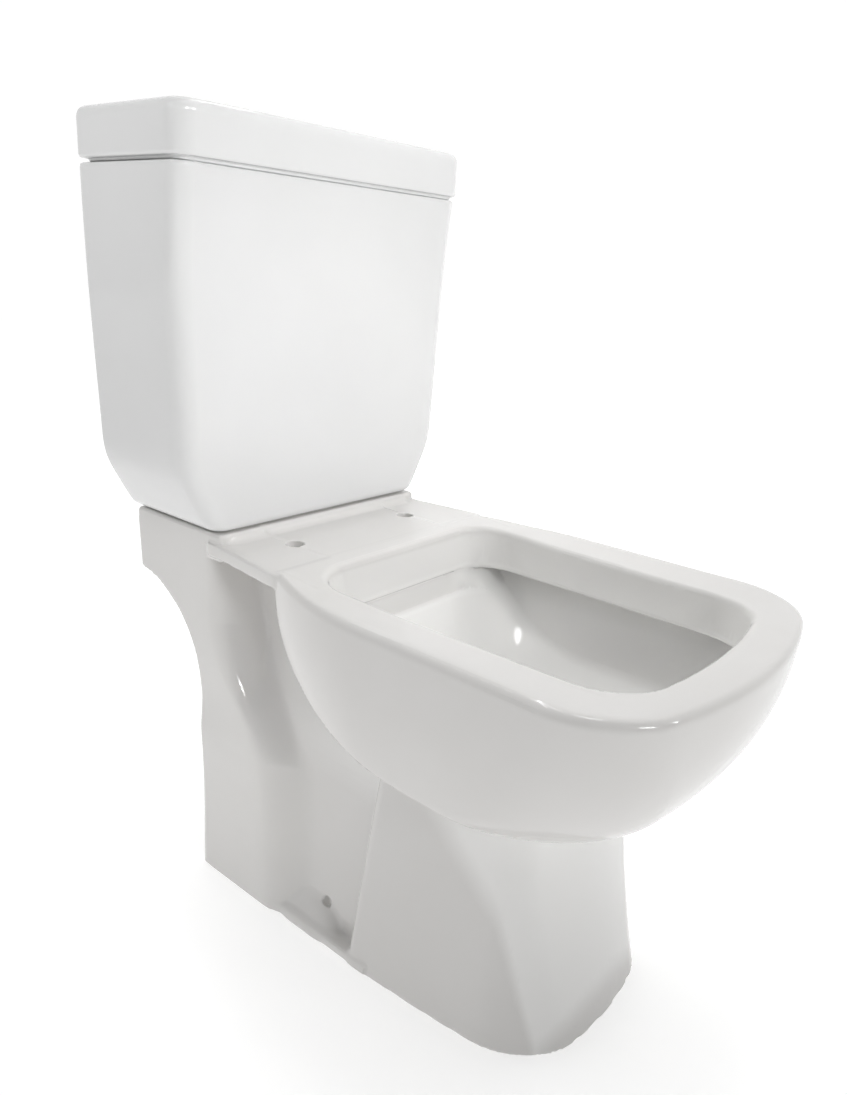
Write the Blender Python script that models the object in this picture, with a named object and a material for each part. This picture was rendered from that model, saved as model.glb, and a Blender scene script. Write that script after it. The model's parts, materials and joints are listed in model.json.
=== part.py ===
"""Close coupled toilet: pan, cistern, lid, dual flush button set, flush valve and fill valve.

Metres, +Z up, the floor at Z = 0, the front of the bowl toward -Y, +X to the right from the front.
"""
import bpy
import bmesh
from math import acos, cos, pi, sin, tan
from mathutils import Matrix, Vector

# ---- driving dimensions ----
DEPTH = 0.636                  # front of the rim to the back of the lid
WALL_Y = DEPTH / 2             # back of the lid, the wall side
RIM_TOP = 0.400                # height of the platform that the seat is bolted to
RIM_DROP = 0.0035              # how far the rim lies below the platform
RIM_HALF = 0.1850              # widest half width of the bowl
SLAB = 0.015                   # thickness of the platform behind the bowl
SHELF_TOP = 0.408              # the shelf that the cistern stands on
SHELF_HALF = 0.1435
LIP_Z = 0.351                  # lower edge of the rim's inner wall
BASE_HALF = 0.130              # half width of the foot on the floor
BASE_FRONT = -0.230
WALL = 0.009                   # china thickness of the pan
GAP = 0.0003                   # clearance between touching pieces

CISTERN_BOTTOM = 0.409
CISTERN_TOP = 0.7405
CISTERN_HALF = 0.1875
CISTERN_WALL = 0.009
CISTERN_FLOOR = 0.421          # inside face of the cistern's bottom
CISTERN_FRONT = 0.1728         # front face; the top leans forward by 7 mm
CISTERN_BACK = 0.316
LID_BOTTOM = 0.744
LID_TOP = 0.7885
LID_HALF = 0.188
LID_FRONT = 0.162
LID_ROOF = 0.781               # underside of the lid's top plate

VALVE_Y = 0.243                # line of the flush valve, buttons and coupling bolts
OUTLET_Z = 0.1825              # horizontal outlet centre
OUTLET_END = 0.308
OUTLET_RADIUS = 0.051
TRAP_RADIUS = 0.0375
SEAT_HOLE = (0.083, 0.131, 0.008)      # x, y, radius
BOLT_X = 0.072
INLET_X, INLET_Y = 0.110, 0.262        # fill valve centre
ROD_X, ROD_Y = 0.010, 0.0145           # push rods, measured from the valve's centre
BUTTON_SPLIT = -0.0055                 # line between the two buttons, from the centre
ROCKER_Z = 0.638
ROCKER_PIVOT = 0.008

WHITE_PAN = (0.80, 0.79, 0.765, 1)
WHITE_CISTERN = (0.83, 0.83, 0.825, 1)
PLASTIC = (0.72, 0.73, 0.74, 1)
BLUE = (0.10, 0.22, 0.42, 1)
RUBBER = (0.03, 0.03, 0.032, 1)
CHROME = (0.78, 0.79, 0.80, 1)
STEEL = (0.55, 0.56, 0.57, 1)


# ---- outlines ----
def rounded_polygon(corners, steps=5):
    """Closed outline through (x, y, radius) corners, each one an arc of the same number of steps."""
    points = []
    for i, (x, y, radius) in enumerate(corners):
        corner = Vector((x, y))
        back = Vector(corners[i - 1][:2]) - corner
        ahead = Vector(corners[(i + 1) % len(corners)][:2]) - corner
        half = back.angle(ahead) / 2
        reach = min(radius / tan(half), 0.49 * back.length, 0.49 * ahead.length)
        radius = reach * tan(half)
        centre = corner + (back.normalized() + ahead.normalized()).normalized() * radius / sin(half)
        start = corner + back.normalized() * reach - centre
        turn = start.angle_signed(corner + ahead.normalized() * reach - centre)
        for k in range(steps + 1):
            points.append(centre + Matrix.Rotation(-turn * k / steps, 2) @ start)
    return points


def mirrored(right_corners, steps=5):
    """Outline symmetric about X = 0, from its right-hand corners listed front to back."""
    left = [(-x, y, r) for x, y, r in reversed(right_corners) if x > 0]
    return rounded_polygon(right_corners + left, steps)


def box_plan(half, front, back, front_radius, back_radius, steps=5):
    return mirrored([(half, front, front_radius), (half, back, back_radius)], steps)


def at_height(plan, z):
    return [Vector((p.x, p.y, z)) for p in plan]


def circle(radius, count, centre=(0, 0)):
    return [Vector((centre[0] + radius * cos(2 * pi * k / count),
                    centre[1] + radius * sin(2 * pi * k / count))) for k in range(count)]


def value_at(table, z):
    """Straight-line value from (z, value) rows sorted by z."""
    for (z0, a), (z1, b) in zip(table, table[1:]):
        if z <= z1:
            return a + (b - a) * (z - z0) / (z1 - z0)
    return table[-1][1]


# ---- solids ----
def new_object(name, bm):
    bmesh.ops.recalc_face_normals(bm, faces=bm.faces)
    mesh = bpy.data.meshes.new(name)
    bm.to_mesh(mesh)
    bm.free()
    obj = bpy.data.objects.new(name, mesh)
    bpy.context.collection.objects.link(obj)
    return obj


def loft(name, sections, ring=False):
    """Skin over sections of equal point count; ring joins the last section to the first."""
    bm = bmesh.new()
    loops = [[bm.verts.new(p) for p in section] for section in sections]
    pairs = list(zip(loops, loops[1:])) + ([(loops[-1], loops[0])] if ring else [])
    count = len(loops[0])
    for low, high in pairs:
        for k in range(count):
            n = (k + 1) % count
            bm.faces.new((low[k], low[n], high[n], high[k]))
    if not ring:
        bm.faces.new(reversed(loops[0]))
        bm.faces.new(loops[-1])
    return new_object(name, bm)


def lathe(name, profile, centre=(0, 0), count=24, ring=True):
    """Turned piece from (radius, z) points about a vertical axis; ring for one with a bore."""
    return loft(name, [at_height(circle(r, count, centre), z) for r, z in profile], ring)


def rod(name, start, end, radius, count=16):
    """Round bar between two points."""
    start, end = Vector(start), Vector(end)
    turn = (end - start).to_track_quat("Z", "Y").to_matrix()
    ends = [[point + turn @ Vector((p.x, p.y, 0)) for p in circle(radius, count)] for point in (start, end)]
    return loft(name, ends)


def box(name, x0, x1, y0, y1, z0, z1):
    plan = [Vector((x0, y0)), Vector((x1, y0)), Vector((x1, y1)), Vector((x0, y1))]
    return loft(name, [at_height(plan, z0), at_height(plan, z1)])


def sweep(name, path, radius, resolution=4, count=3):
    """Round tube along a smooth path, made from a bevelled curve with filled caps."""
    curve = bpy.data.curves.new(name, "CURVE")
    curve.dimensions = "3D"
    curve.bevel_depth = radius
    curve.bevel_resolution = count
    curve.resolution_u = resolution
    curve.use_fill_caps = True
    spline = curve.splines.new("BEZIER")
    spline.bezier_points.add(len(path) - 1)
    for point, co in zip(spline.bezier_points, path):
        point.co = co
        point.handle_left_type = point.handle_right_type = "AUTO"
    source = bpy.data.objects.new(name + "_curve", curve)
    bpy.context.collection.objects.link(source)
    evaluated = source.evaluated_get(bpy.context.evaluated_depsgraph_get())
    bm = bmesh.new()
    bm.from_mesh(evaluated.to_mesh())
    bmesh.ops.remove_doubles(bm, verts=bm.verts, dist=1e-6)
    bpy.data.objects.remove(source)
    return new_object(name, bm)


def combine(target, others, operation):
    """Apply an exact boolean of each other solid to the target and remove the others."""
    for other in others:
        modifier = target.modifiers.new(operation.lower(), "BOOLEAN")
        modifier.operation = operation
        modifier.solver = "EXACT"
        modifier.object = other
        with bpy.context.temp_override(object=target, active_object=target):
            bpy.ops.object.modifier_apply(modifier=modifier.name)
        bpy.data.objects.remove(other)
    return target


def add(target, *others):
    return combine(target, others, "UNION")


def cut(target, *others):
    return combine(target, others, "DIFFERENCE")


def finish(obj, name, color, roughness=0.3, metallic=0.0, smooth_angle=35):
    """Name the piece, give it its material, shade it and return it."""
    bm = bmesh.new()
    bm.from_mesh(obj.data)
    bmesh.ops.dissolve_degenerate(bm, dist=5e-6, edges=bm.edges)
    bmesh.ops.triangulate(bm, faces=bm.faces)
    bm.to_mesh(obj.data)
    bm.free()
    obj.name = obj.data.name = name
    material = bpy.data.materials.new(name)
    material.use_nodes = True
    shader = material.node_tree.nodes["Principled BSDF"]
    shader.inputs["Base Color"].default_value = color
    shader.inputs["Roughness"].default_value = roughness
    shader.inputs["Metallic"].default_value = metallic
    obj.data.materials.clear()
    obj.data.materials.append(material)
    for polygon in obj.data.polygons:
        polygon.use_smooth = True
        polygon.material_index = 0
    obj.data.set_sharp_from_angle(angle=smooth_angle * pi / 180)
    return obj


# ---- pan ----
def bowl_plan(side, front, back):
    """Plan of the bowl: straight rear, flared shoulders, slightly bowed sides and front."""
    return mirrored([
        (0, -WALL_Y - 0.0033 + front, 0.6),
        (0.100 - side / 2, -WALL_Y + 0.0105 + front, 0.30),
        (RIM_HALF + 0.0010 - side, -WALL_Y + 0.0310 + front, 0.066 + 0.4 * front),
        (RIM_HALF - 0.0020 - side, -0.140, 0.6),
        (RIM_HALF - 0.0030 - side, 0.020, 0.08),
        (0.1525 - side, back, 0.006)])


BOWL = [  # height, inset of the side, inset of the front, back
    (0.2500, 0.0258, 0.0694, -0.090), (0.2620, 0.0213, 0.0505, -0.0227), (0.2750, 0.0170, 0.0373, 0.0064),
    (0.2900, 0.0132, 0.0263, 0.0291), (0.3100, 0.0085, 0.0157, 0.0509), (0.3350, 0.0038, 0.0069, 0.0683),
    (0.3600, 0.0010, 0.0019, 0.0780), (0.3880, 0.0, 0.0, 0.0810), (0.3925, 0.0010, 0.0010, 0.0810),
    (0.3953, 0.0035, 0.0035, 0.0800), (0.3965, 0.0080, 0.0080, 0.0785)]
COLUMN_BACK = [(-0.02, 0.220), (0.00, 0.220), (0.13, 0.2126), (0.21, 0.217), (0.252, 0.220), (0.284, 0.232),
               (0.300, 0.241), (0.313, 0.254), (0.326, 0.269), (0.336, 0.293), (0.341, 0.3135), (0.41, 0.3135)]
COLUMN_FRONT = [(-0.02, 0.102), (0.08, 0.103), (0.182, 0.106), (0.195, 0.110), (0.257, 0.148), (0.324, 0.174),
                (0.373, 0.186), (0.41, 0.186)]
HOUSING_HALF = [(-0.02, 0.113), (0.165, 0.112), (0.20, 0.106), (0.235, 0.097), (0.28, 0.098), (0.34, 0.102),
                (0.392, 0.104)]
BASIN = [  # height, half width, back, front, corner radius
    (0.060, 0.036, -0.062, -0.136, 0.035), (0.100, 0.044, -0.055, -0.142, 0.042),
    (0.150, 0.058, -0.045, -0.150, 0.050), (0.200, 0.078, -0.025, -0.160, 0.065),
    (0.240, 0.100, -0.002, -0.174, 0.075), (0.262, 0.113, 0.010, -0.192, 0.080), (0.280, 0.124, 0.022, -0.220, 0.080),
    (0.300, 0.136, 0.033, -0.248, 0.072), (0.320, 0.148, 0.044, -0.270, 0.066), (0.350, 0.160, 0.057, -0.294, 0.062),
    (0.388, 0.163, 0.066, -0.301, 0.058)]
TRAP_PATH = [(-0.100, 0.064), (-0.055, 0.058), (-0.005, 0.078), (0.050, 0.135), (0.095, 0.173), (0.140, OUTLET_Z),
             (0.230, OUTLET_Z), (0.330, OUTLET_Z)]


def column_half(z):
    return BASE_HALF + 0.014 * z / RIM_TOP


def column_loft(name, inset, heights, back_limit=None):
    sections = []
    for z in heights:
        back = back_limit or value_at(COLUMN_BACK, z)
        front = value_at(COLUMN_FRONT, z) + inset
        sections.append(at_height(box_plan(column_half(z) - inset, front, back, 0.012, 0.004, 3), z))
    return loft(name, sections)


def opening_plan(grow):
    return mirrored([
        (0, -0.2740 - grow, 0.3), (0.1235 + grow, -0.2580 - grow, 0.042 + grow), (0.1270 + grow, -0.050, 0.6),
        (0.1265 + grow, 0.0520 + grow, 0.040 + grow)])


def foot_plan(z, inset):
    """Plan of the foot below the bowl, which leans back and narrows towards the top."""
    front = BASE_FRONT + (0.30 - 0.42 * z) * z + inset
    return mirrored([
        (0, front, 0.3), (0.1140 - 0.085 * z - inset, front + 0.016, 0.052 - inset / 2),
        (0.1290 - 0.02 * z - inset, -0.040, 0.4), (BASE_HALF - 0.01 * z - inset, -0.003 - 0.105 * z - inset, 0.006)])


def basin_loft(name, grow, drop):
    """The bowl's water space, following the bowl's flared plan near the rim and rounder below."""
    sections = []
    for z, half, back, front, radius in BASIN:
        half, front, back, radius = half + grow, front - grow, back + grow, radius + grow
        plan = mirrored([
            (0, front, 0.4), (half * 0.985, front + 0.07 * half, radius), (half, front * 0.6 + back * 0.4, 0.5),
            (half * 0.96, front * 0.2 + back * 0.8, radius), (half * 0.80, back, radius * 0.4)])
        sections.append(at_height(plan, z - drop))
    return loft(name, sections)


def pan_outside():
    pan = loft("bowl", [at_height(bowl_plan(side, front, back), z) for z, side, front, back in BOWL])
    pedestal = loft("pedestal", [at_height(foot_plan(z, 0), z) for z in (0.0, 0.05, 0.10, 0.16, 0.22, 0.275)])
    column = column_loft("column", 0.0, [0.0, 0.13, 0.182, 0.21, 0.257, 0.284, 0.300, 0.313, 0.326, 0.336,
                                         0.341, 0.3995])
    housing = loft("housing", [
        at_height(box_plan(half, -0.055 if z < 0.26 else 0.03, 0.215 - 0.001 * k, 0.004, 0.004, 2), max(z, 0.0005))
        for k, (z, half) in enumerate(HOUSING_HALF)])
    foot = loft("foot", [at_height(box_plan(half, -0.020, 0.115, 0.003, 0.003, 2), z)
                         for z, half in ((0.0002, 0.1298), (0.014, 0.1290), (0.050, 0.1125))])
    slab = loft("slab", [
        at_height(mirrored([(0.1526 - i, 0.0765 + i, 0.006), (0.1440 - i, 0.180, 0.06),
                            (0.1440 - i, 0.3130 - i, 0.004)]), z)
        for i, z in ((0.001, RIM_TOP - SLAB), (0.0, RIM_TOP - SLAB + 0.002), (0.0, RIM_TOP - 0.003),
                     (0.003, RIM_TOP - 0.0002))])
    shelf = loft("shelf", [
        at_height(box_plan(SHELF_HALF - i, front, 0.3133 - i, 0.010, 0.004), z)
        for i, front, z in ((0.0, 0.1545, 0.394), (0.0, 0.1555, RIM_TOP), (0.0005, 0.1610, 0.403),
                            (0.001, 0.1690, 0.4065), (0.002, 0.1730, SHELF_TOP))])
    return add(pan, pedestal, column, housing, foot, slab, shelf)


def pan_hollow():
    """The open underside and back that a cast pan has."""
    pedestal = loft("pedestal_hollow", [
        at_height(foot_plan(max(z, 0), 0.0115), z) for z in (-0.01, 0.10, 0.232)])
    middle = loft("middle_hollow", [
        at_height(box_plan(half - WALL - 0.0005, front, 0.35, 0.004, 0.004, 2), z)
        for z, half, front in ((-0.015, 0.113, -0.040), (0.165, 0.112, -0.040), (0.20, 0.106, -0.040),
                               (0.235, 0.097, 0.000), (0.30, 0.099, 0.048), (0.341, 0.102, 0.080),
                               (0.3848, 0.103, 0.092))])
    column = column_loft("column_hollow", WALL, [-0.012, 0.13, 0.182, 0.257, 0.300, 0.3305], 0.352)
    under_shelf = column_loft("shelf_hollow", WALL + 0.0004, [0.322, 0.373, 0.394], 0.3025)
    channel = box("channel", -0.037, 0.037, 0.050, VALVE_Y, 0.3495, 0.3935)
    return cut(add(pedestal, middle, column, under_shelf), channel)


def make_pan():
    pan = cut(pan_outside(), pan_hollow())
    trap_points = [(0, y, z) for y, z in TRAP_PATH]
    trap = sweep("trap", [(0, -0.120, 0.072)] + trap_points[1:-1], TRAP_RADIUS + 0.0095)
    spigot = rod("spigot", (0, 0.212, OUTLET_Z), (0, OUTLET_END, OUTLET_Z), OUTLET_RADIUS, 40)
    chamber = lathe("chamber", [(0.0578, 0.3455), (0.0578, 0.396)], (0, VALVE_Y), 40, ring=False)
    add(pan, basin_loft("basin_shell", WALL, 0.013), trap, spigot, chamber)
    basin = basin_loft("basin", 0, 0)
    inner_wall = loft("inner_wall", [at_height(opening_plan(g), z) for g, z in (
        (0.0085, LIP_Z), (0.0095, 0.372), (0.0105, 0.41))])
    mouth = loft("mouth", [at_height(opening_plan(g), z) for g, z in (
        (0.0, 0.337), (0.0, LIP_Z), (0.0040, 0.391), (0.0085, RIM_TOP - RIM_DROP), (0.0180, 0.4052))])
    cut(pan, cut(basin, inner_wall), mouth)
    passage = sweep("passage", trap_points, TRAP_RADIUS)
    recess = lathe("recess", [(0.030, 0.362), (0.030, 0.3925), (0.052, 0.3925), (0.0525, 0.42)], (0, VALVE_Y), 40,
                   ring=False)
    feed = box("feed", -0.028, 0.028, 0.063, VALVE_Y, 0.3585, 0.3835)
    cut(pan, passage, recess, feed)
    for side in (-1, 1):
        x, y, radius = SEAT_HOLE
        cut(pan,
            rod("seat_hole", (side * x, y, 0.37), (side * x, y, 0.42), radius, 24),
            rod("bolt_hole", (side * BOLT_X, VALVE_Y, 0.38), (side * BOLT_X, VALVE_Y, 0.42), 0.0075, 20),
            rod("floor_hole", (side * 0.140, 0.040, 0.058), (side * 0.080, 0.040, 0.012), 0.0048, 16))
    cut(pan, rod("inlet_hole", (INLET_X, INLET_Y, 0.38), (INLET_X, INLET_Y, 0.42), 0.019, 28))
    return finish(pan, "pan", WHITE_PAN, 0.12)


# ---- cistern and lid ----
CISTERN_SIDE = [(0.409, 0.1385), (0.4105, 0.1440), (0.415, 0.1489), (0.430, 0.1578), (0.445, 0.1660),
                (0.458, 0.1728), (0.468, 0.1768), (0.480, 0.1793), (0.500, 0.1806), (0.550, 0.1828),
                (0.600, 0.1848), (0.650, 0.1864), (0.700, 0.1873), (CISTERN_TOP, CISTERN_HALF)]


def cistern_section(z, half, inset):
    edge = max(0.0, 0.420 - z) * 0.55
    front = CISTERN_FRONT - 0.007 * min(max((z - 0.60) / 0.14, 0), 1) ** 2 + edge + inset
    plan = box_plan(half - inset, front, CISTERN_BACK - inset - edge / 2, 0.018 - min(inset, 0.006), 0.006)
    return at_height(plan, z)


def make_cistern():
    shell = loft("shell", [cistern_section(z, half, 0) for z, half in CISTERN_SIDE])
    inside = loft("inside", [cistern_section(z, half, CISTERN_WALL) for z, half in (
        (CISTERN_FLOOR, 0.1500), (0.426, 0.1555), (0.445, 0.1660), (0.468, 0.1768), (0.480, 0.1793),
        (0.550, 0.1828), (0.650, 0.1864), (0.700, 0.1873), (0.76, CISTERN_HALF))])
    cut(shell, inside,
        rod("outlet_hole", (0, VALVE_Y, 0.40), (0, VALVE_Y, 0.43), 0.0285, 36),
        rod("inlet_hole", (INLET_X, INLET_Y, 0.40), (INLET_X, INLET_Y, 0.43), 0.0113, 24))
    for side in (-1, 1):
        cut(shell,
            rod("bolt_hole", (side * BOLT_X, VALVE_Y, 0.40), (side * BOLT_X, VALVE_Y, 0.43), 0.0055, 16),
            rod("wall_hole", (side * 0.120, 0.30, 0.660), (side * 0.120, 0.32, 0.660), 0.0035, 16))
    return finish(shell, "cistern", WHITE_CISTERN, 0.12)


def lid_plan(inset):
    return box_plan(LID_HALF - inset, LID_FRONT + inset, WALL_Y - inset, max(0.020 - inset, 0.01), 0.006)


def make_lid():
    lid = loft("lid", [at_height(lid_plan(i), z) for i, z in (
        (0.0020, LID_BOTTOM), (0.0, 0.7465), (0.0, 0.7745), (0.0015, 0.7800), (0.0058, 0.7845), (0.0130, 0.7870),
        (0.0420, LID_TOP))])
    seat = loft("seat", [at_height(lid_plan(i), z) for i, z in ((0.0065, CISTERN_TOP + GAP), (0.0065, 0.750))])
    rib = loft("rib", [at_height(lid_plan(i), z) for i, z in ((0.0165, 0.729), (0.0155, 0.755))])
    hollow = loft("hollow", [at_height(lid_plan(i), z) for i, z in ((0.0225, 0.72), (0.0225, LID_ROOF))])
    add(lid, seat, rib)
    cut(lid, hollow, rod("hole", (0, VALVE_Y, 0.77), (0, VALVE_Y, 0.80), 0.0255, 36))
    return finish(lid, "cistern_lid", WHITE_CISTERN, 0.12)


# ---- coupling between pan and cistern ----
def hexagon(name, centre, radius, z0, z1, bore=0.0):
    """Hexagonal nut or bolt head."""
    body = loft(name, [at_height(circle(radius, 6, centre), z) for z in (z0, z1)])
    if bore:
        cut(body, rod("bore", (*centre, z0 - 0.01), (*centre, z1 + 0.01), bore, 24))
    return body


def washer(name, centre, outer, inner, z0, z1, count=20):
    return lathe(name, [(inner, z0), (outer, z0), (outer, z1), (inner, z1)], centre, count)


def make_coupling():
    middle = (0, VALVE_Y)
    gasket = lathe("gasket", [(0.0345, 0.3930), (0.0475, 0.3930), (0.0505, 0.3965), (0.0505, 0.4055),
                              (0.0475, 0.4087), (0.0345, 0.4087)], middle, 30)
    finish(gasket, "coupling_gasket", RUBBER, 0.75)
    for side, label in ((-1, "left"), (1, "right")):
        centre = (side * BOLT_X, VALVE_Y)
        finish(washer("seal", centre, 0.015, 0.0044, CISTERN_FLOOR + GAP, 0.4240), "bolt_seal_" + label, RUBBER, 0.75)
        bolt = add(hexagon("head", centre, 0.0085, 0.4243, 0.4298),
                   rod("shank", (*centre, 0.352), (*centre, 0.4270), 0.0040))
        finish(bolt, "coupling_bolt_" + label, STEEL, 0.35, 1.0)
        finish(washer("washer", centre, 0.0135, 0.0044, 0.3914, 0.3937), "bolt_washer_" + label, STEEL, 0.35, 1.0)
        nut = washer("hub", centre, 0.0085, 0.0044, 0.3790, 0.3911, 24)
        for wing in (-1, 1):
            y = VALVE_Y + wing * 0.0125
            add(nut, box("wing", centre[0] - 0.0016, centre[0] + 0.0016, y - 0.0062, y + 0.0062, 0.3745, 0.3880))
        finish(nut, "wing_nut_" + label, PLASTIC, 0.4)


# ---- flush valve ----
def make_flush_valve():
    middle = (0, VALVE_Y)
    seat = lathe("seat", [(0.0225, 0.3940), (0.0280, 0.3940), (0.0280, 0.4246), (0.0420, 0.4246), (0.0420, 0.4286),
                          (0.0260, 0.4286), (0.0245, 0.4303), (0.0225, 0.4303)], middle, 30)
    finish(seat, "flush_valve_seat", PLASTIC, 0.35)
    finish(washer("gasket", middle, 0.0400, 0.0284, CISTERN_FLOOR + GAP, 0.4243, 30),
           "flush_valve_gasket", RUBBER, 0.75)
    finish(washer("backnut", middle, 0.0338, 0.0284, 0.3960, 0.4086, 30), "flush_valve_backnut", PLASTIC, 0.4)

    tower = lathe("tower", [(0.0335, 0.4289), (0.0405, 0.4289), (0.0405, 0.4340), (0.0365, 0.4380), (0.0365, 0.6000),
                            (0.0335, 0.6000)], middle, 30)
    for z0, z1 in ((0.442, 0.515), (0.525, 0.590)):
        cut(tower, box("window", -0.05, 0.05, VALVE_Y - 0.022, VALVE_Y + 0.022, z0, z1),
            box("window", -0.022, 0.022, VALVE_Y - 0.05, VALVE_Y + 0.05, z0, z1))
    finish(tower, "flush_valve_tower", PLASTIC, 0.35)

    tube = lathe("tube", [(0.0095, 0.4345), (0.0260, 0.4345), (0.0260, 0.4375), (0.0135, 0.4400), (0.0120, 0.4450),
                          (0.0120, 0.6800), (0.0110, 0.6810), (0.0095, 0.6810)], middle, 24)
    bar = box("bar", -0.0020, 0.0020, -0.0190, 0.0190, 0.6480, 0.6520)
    bar.data.transform(Matrix.Translation((0, VALVE_Y, 0)) @ Matrix.Rotation(0.74, 4, "Z"))
    cut(bar, rod("clear", (*middle, 0.64), (*middle, 0.66), 0.0108, 24))
    finish(add(tube, bar), "overflow_tube", PLASTIC, 0.35)
    finish(washer("seal", middle, 0.0285, 0.0098, 0.4306, 0.4342, 30), "plunger_seal", RUBBER, 0.7)
    float_cup = lathe("float_cup", [(0.0124, 0.5400), (0.0285, 0.5400), (0.0285, 0.5750), (0.0265, 0.5750),
                                    (0.0265, 0.5425), (0.0145, 0.5425), (0.0145, 0.5750), (0.0124, 0.5750)], middle, 24)
    finish(float_cup, "half_flush_float", BLUE, 0.4)

    head = lathe("head", [(0.0128, 0.6003), (0.0385, 0.6003), (0.0385, 0.6110), (0.0350, 0.6150), (0.0128, 0.6150)],
                 middle, 30)
    for side in (-1, 1):
        pivot = -side * ROCKER_PIVOT
        y0, y1 = sorted((VALVE_Y + side * 0.0170, VALVE_Y + side * 0.0205))
        lug = box("lug", pivot - 0.0045, pivot + 0.0045, y0, y1, 0.613, 0.6435)
        add(head, cut(lug, rod("bore", (pivot, y0 - 0.01, ROCKER_Z), (pivot, y1 + 0.01, ROCKER_Z), 0.0019, 16)))
    finish(head, "actuator_head", PLASTIC, 0.35)


def make_rocker(side, label, nose):
    """Rocking lever under one push rod, with its pin."""
    pivot = -side * ROCKER_PIVOT
    y0, y1 = sorted((VALVE_Y + side * 0.0127, VALVE_Y + side * 0.0167))
    ends = sorted((side * 0.0128, -side * 0.0185))
    bar = box("bar", ends[0], ends[1], y0, y1, ROCKER_Z, ROCKER_Z + 0.004)
    add(bar, rod("boss", (pivot, y0, ROCKER_Z), (pivot, y1, ROCKER_Z), 0.0042, 20))
    if nose:
        tip = sorted((-side * 0.0185, -side * 0.0150))
        add(bar, box("nose", tip[0], tip[1], y0 + 0.0002, y1 - 0.0002, ROCKER_Z + 0.002, ROCKER_Z + 0.0095))
    cut(bar, rod("bore", (pivot, y0 - 0.01, ROCKER_Z), (pivot, y1 + 0.01, ROCKER_Z), 0.0019, 16))
    bar.data.transform(Matrix.Translation((-pivot, -VALVE_Y, -ROCKER_Z)))
    bar.location = (pivot, VALVE_Y, ROCKER_Z)
    finish(bar, "rocker_" + label, BLUE, 0.4)
    pin_ends = (VALVE_Y + side * 0.0122, VALVE_Y + side * 0.0212)
    pin = rod("pin", (pivot, pin_ends[0], ROCKER_Z), (pivot, pin_ends[1], ROCKER_Z), 0.0015, 16)
    finish(pin, "rocker_pin_" + label, STEEL, 0.3, 1.0)


# ---- button set ----
def button(side, label):
    """One of the two push buttons, cut from a disc along a straight line."""
    disc = lathe("disc", [(0.0221, 0.7860), (0.0221, 0.7950), (0.0212, 0.7960)], (0, VALVE_Y), 36, ring=False)
    edge = VALVE_Y + BUTTON_SPLIT
    if side > 0:
        cut(disc, box("away", -0.05, 0.05, VALVE_Y - 0.05, edge + GAP, 0.77, 0.81))
    else:
        cut(disc, box("away", -0.05, 0.05, edge - GAP, VALVE_Y + 0.05, 0.77, 0.81))
    finish(disc, "button_" + label, CHROME, 0.12, 1.0)


def make_push_rod(side, label):
    x, y = side * ROD_X, VALVE_Y + side * ROD_Y
    stem = loft("stem", [at_height(circle(r, 12, (x, y)), z) for r, z in (
        (0.0010, 0.6424), (0.0020, 0.6440), (0.0020, 0.7857))])
    finish(stem, "push_rod_" + label, PLASTIC, 0.4)


def make_spring(side, label):
    """Return spring: a helix between the housing's floor and the button."""
    x, y = side * ROD_X, VALVE_Y + side * ROD_Y
    turns, per_turn, wire, radius, low, high = 6, 10, 0.0005, 0.0034, 0.7612, 0.7850
    sections = []
    for k in range(turns * per_turn + 1):
        angle = 2 * pi * k / per_turn
        z = low + (high - low) * k / (turns * per_turn)
        outward = Vector((cos(angle), sin(angle), 0))
        centre = Vector((x, y, z)) + outward * radius
        sections.append([centre + outward * wire * cos(pi * j / 2) + Vector((0, 0, wire * sin(pi * j / 2)))
                         for j in range(4)])
    finish(loft("helix", sections), "return_spring_" + label, STEEL, 0.3, 1.0)


def make_button_housing():
    middle = (0, VALVE_Y)
    housing = lathe("housing", [(0.0226, 0.7605), (0.0226, 0.7935), (0.0300, 0.7935), (0.0305, 0.7930),
                                (0.0305, LID_TOP + GAP), (0.0250, LID_TOP + GAP), (0.0250, 0.7575),
                                (0.0060, 0.7575), (0.0060, 0.7605)], middle, 36)
    for side in (-1, 1):
        x, y = side * ROD_X, VALVE_Y + side * ROD_Y
        cut(housing, rod("guide", (x, y, 0.75), (x, y, 0.77), 0.0026, 16))
    finish(housing, "button_housing", CHROME, 0.15, 1.0)
    nut = lathe("nut", [(0.0254, 0.7690), (0.0330, 0.7690), (0.0345, 0.7740), (0.0345, LID_ROOF - GAP),
                        (0.0254, LID_ROOF - GAP)], middle, 36)
    finish(nut, "button_housing_nut", PLASTIC, 0.4)


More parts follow.
